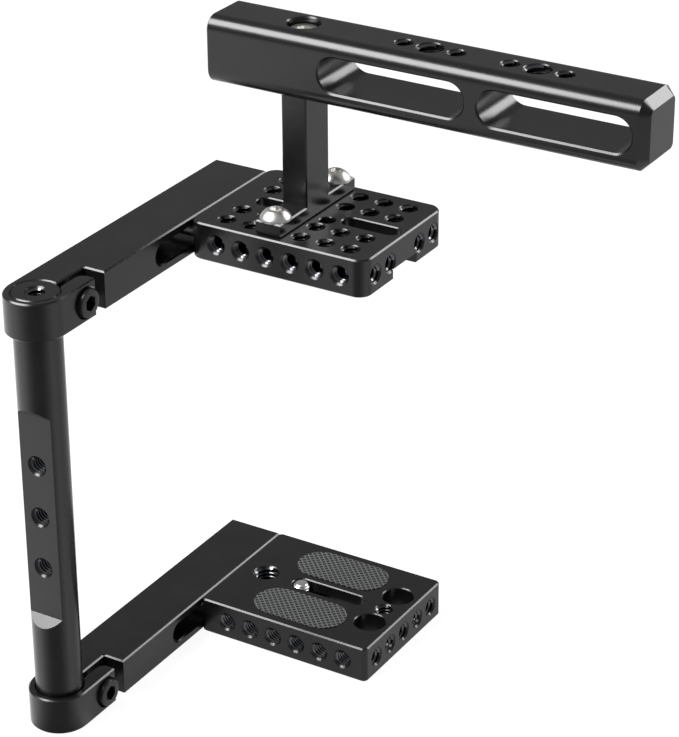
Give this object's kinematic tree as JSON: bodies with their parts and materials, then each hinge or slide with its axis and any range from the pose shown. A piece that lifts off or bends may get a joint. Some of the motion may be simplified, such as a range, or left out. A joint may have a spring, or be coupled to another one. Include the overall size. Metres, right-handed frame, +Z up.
{
  "type": "camera cage",
  "caption": "Camera cage: a side rod with two clamped arms, a top plate of tapped holes with a slotted grip handle, and a base plate with a camera screw.",
  "frame": {"origin": "on the side rod's axis, in the plane of the underside", "axes": "+X from the rod along the arms to the plates, -Y to the front where the grip overhangs, +Z up along the rod"},
  "size_m": [0.1407, 0.1873, 0.2375],
  "materials": {
    "anodised": "satin black anodised",
    "black_steel": "black oxide, semi-gloss",
    "stainless": "bright stainless steel",
    "rubber": "matt black, woven pattern",
    "nylon": "natural nylon"
  },
  "bodies": {
    "lower_arm": {"lower_arm": "anodised"},
    "rod": {"rod": "anodised"},
    "upper_arm": {"upper_arm": "anodised"},
    "top_plate": {"top_plate": "anodised", "handle_post": "anodised", "near_foot_screw": "stainless", "far_foot_screw": "stainless", "handle_grip": "anodised", "handle_screw": "stainless"},
    "base_plate": {"base_plate": "anodised", "near_grip_pad": "rubber", "far_grip_pad": "rubber"},
    "camera_screw_washer": {"camera_screw_washer": "nylon"},
    "camera_screw": {"camera_screw": "stainless"},
    "lower_clamp_screw": {"lower_clamp_screw": "black_steel"},
    "upper_clamp_screw": {"upper_clamp_screw": "black_steel"},
    "top_plate_inner_screw": {"top_plate_inner_screw": "stainless"},
    "top_plate_outer_screw": {"top_plate_outer_screw": "stainless"},
    "base_plate_inner_screw": {"base_plate_inner_screw": "stainless"},
    "base_plate_outer_screw": {"base_plate_outer_screw": "stainless"}
  },
  "joints": [
    {"name": "rod_turn", "type": "hinge", "parent": "lower_arm", "child": "rod", "pos_m": [0, 0, 0], "axis": [0, 0, 1], "continuous": true},
    {"name": "upper_arm_slide", "type": "slide", "parent": "rod", "child": "upper_arm", "axis": [0, 0, 1], "range_m": [-0.12, 0]},
    {"name": "top_plate_slide", "type": "slide", "parent": "upper_arm", "child": "top_plate", "axis": [1, 0, 0], "range_m": [-0.023, 0.003]},
    {"name": "base_plate_slide", "type": "slide", "parent": "lower_arm", "child": "base_plate", "axis": [1, 0, 0], "range_m": [-0.0225, 0.0065]},
    {"name": "camera_screw_slide", "type": "slide", "parent": "base_plate", "child": "camera_screw_washer", "axis": [0, 1, 0], "range_m": [-0.0235, 0]},
    {"name": "camera_screw_spin", "type": "hinge", "parent": "camera_screw_washer", "child": "camera_screw", "pos_m": [0.10175, -0.038, 0], "axis": [0, 0, 1], "continuous": true},
    {"name": "lower_clamp_screw_spin", "type": "hinge", "parent": "lower_arm", "child": "lower_clamp_screw", "pos_m": [0.013, -0.0067, 0.007], "axis": [0, -1, 0], "continuous": true},
    {"name": "upper_clamp_screw_spin", "type": "hinge", "parent": "upper_arm", "child": "upper_clamp_screw", "pos_m": [0.013, -0.0067, 0.161], "axis": [0, -1, 0], "continuous": true},
    {"name": "top_plate_inner_screw_spin", "type": "hinge", "parent": "top_plate", "child": "top_plate_inner_screw", "pos_m": [0.081, 0.0062, 0.161], "axis": [0, 1, 0], "continuous": true},
    {"name": "top_plate_outer_screw_spin", "type": "hinge", "parent": "top_plate", "child": "top_plate_outer_screw", "pos_m": [0.111, 0.0062, 0.161], "axis": [0, 1, 0], "continuous": true},
    {"name": "base_plate_inner_screw_spin", "type": "hinge", "parent": "base_plate", "child": "base_plate_inner_screw", "pos_m": [0.08175, 0.0062, 0.007], "axis": [0, 1, 0], "continuous": true},
    {"name": "base_plate_outer_screw_spin", "type": "hinge", "parent": "base_plate", "child": "base_plate_outer_screw", "pos_m": [0.11175, 0.0062, 0.007], "axis": [0, 1, 0], "continuous": true}
  ]
}
